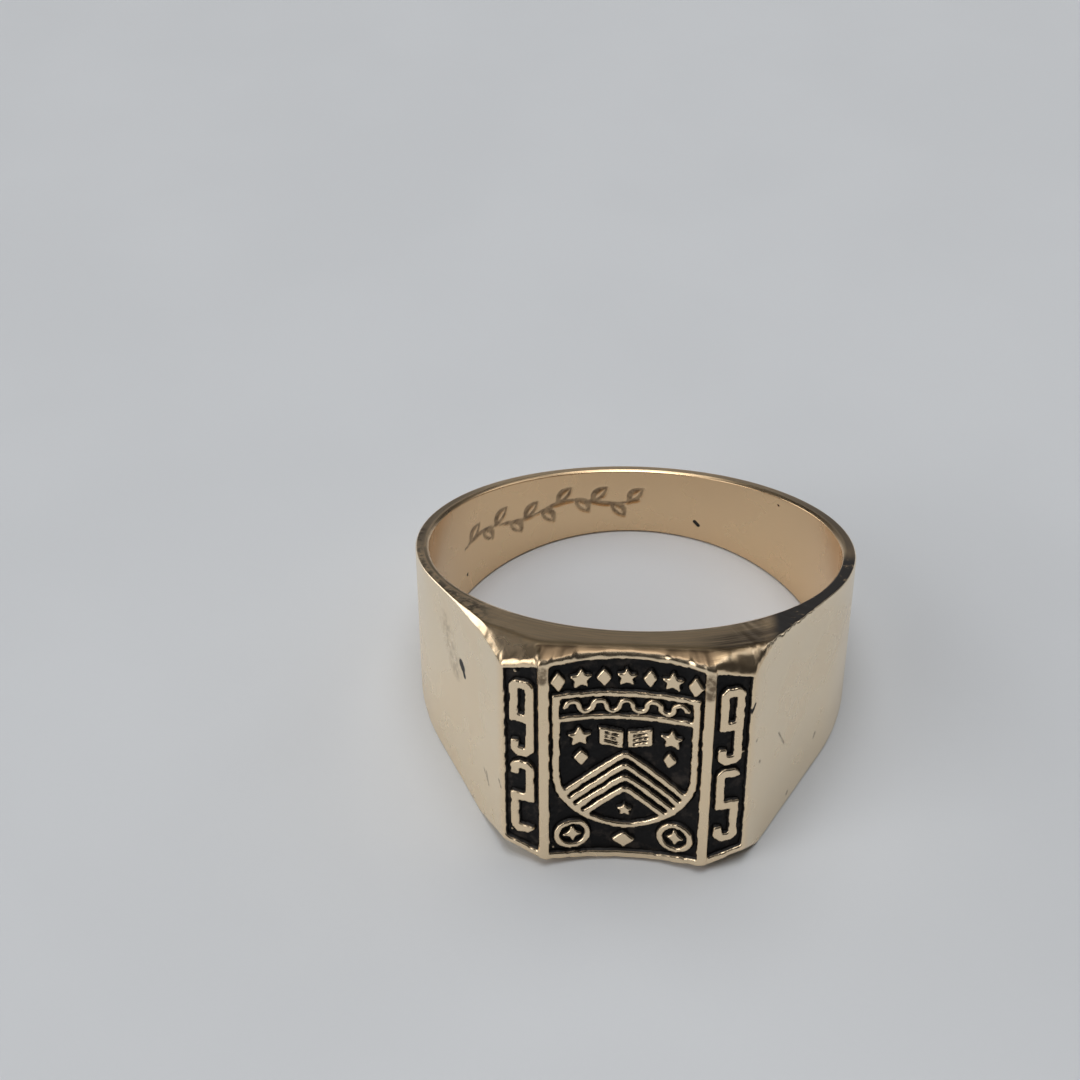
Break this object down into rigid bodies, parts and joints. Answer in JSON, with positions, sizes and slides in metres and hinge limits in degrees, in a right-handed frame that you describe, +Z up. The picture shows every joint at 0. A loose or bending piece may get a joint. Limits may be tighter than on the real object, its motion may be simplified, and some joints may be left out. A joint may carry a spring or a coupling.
{
  "type": "class ring",
  "caption": "Cast gold class ring: a tapering band that widens through flat shoulders into a tall hollowed face with a raised shield, numerals and stars over black filled recesses.",
  "frame": {"origin": "centre of the footprint on the surface that the ring lies on, under the lower edge of its band", "axes": "+Z up, the ring lying on the lower edge of its band; the face looks along -Y and a little upwards; +X is the right side of the face as it is read"},
  "size_m": [0.0202, 0.023, 0.0111],
  "materials": {
    "gold": "polished, lightly worn",
    "black_fill": "dull, uneven"
  },
  "bodies": {
    "root": {"ring_body": "gold", "enamel_left": "black_fill", "enamel_centre": "black_fill", "enamel_right": "black_fill"}
  },
  "joints": []
}
